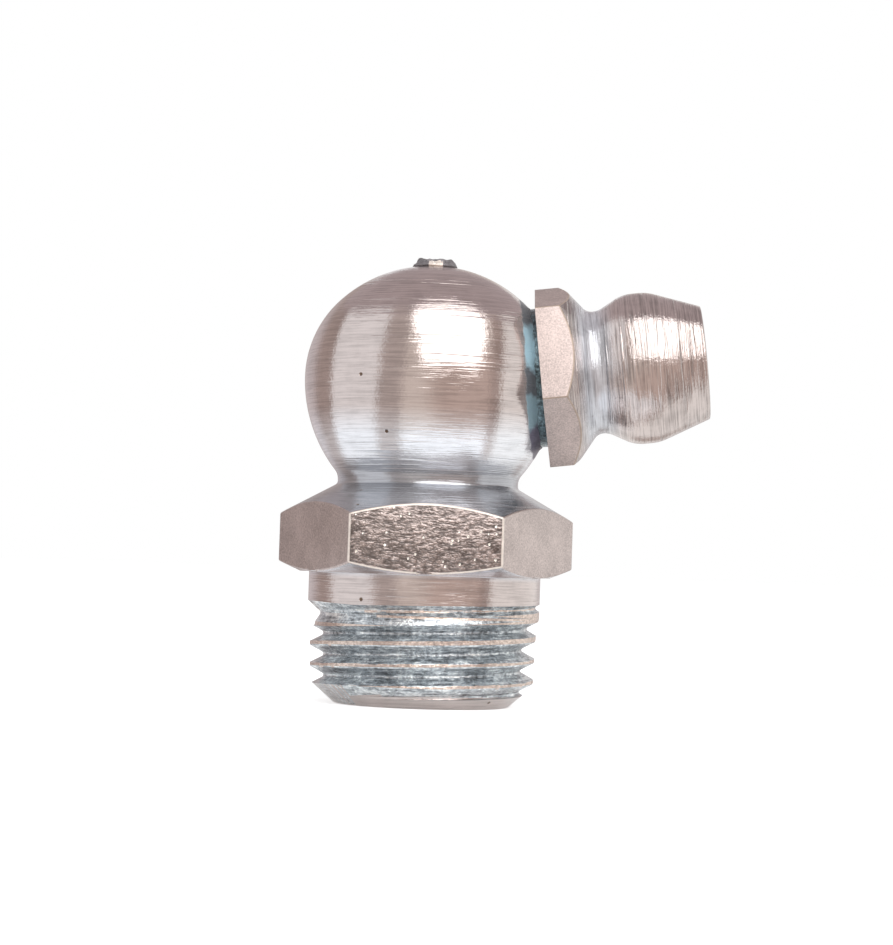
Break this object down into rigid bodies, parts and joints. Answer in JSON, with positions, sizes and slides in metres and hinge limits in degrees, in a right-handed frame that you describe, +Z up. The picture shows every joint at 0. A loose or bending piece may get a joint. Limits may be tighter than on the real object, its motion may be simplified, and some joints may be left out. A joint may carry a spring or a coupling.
{
  "type": "angle grease nipple",
  "caption": "Right-angle hydraulic grease nipple: tapered thread, hexagon, drilled ball and a screwed-in coupling head with a sprung check ball.",
  "frame": {"origin": "on the thread's axis, in the plane of the thread's flat end face", "axes": "+Z up the thread's axis towards the ball; +X, seen from above, the way the coupling head points"},
  "size_m": [0.0184, 0.0114, 0.0192],
  "materials": {
    "plated_body": "zinc-plated turned steel",
    "plated_head": "zinc-plated turned steel",
    "ball_steel": "polished hard steel",
    "spring_steel": "drawn spring wire"
  },
  "bodies": {
    "fitting": {"elbow_body": "plated_body", "nipple_head": "plated_head", "spring": "spring_steel"},
    "valve_ball": {"check_ball": "ball_steel"}
  },
  "joints": [
    {"name": "check_ball_lift", "type": "slide", "parent": "fitting", "child": "valve_ball", "axis": [-0.9925, 0, -0.1219], "range_m": [0, 0.001], "stiffness_N_per_m": 500, "springref_m": -0.002, "deforming": ["spring"]}
  ]
}
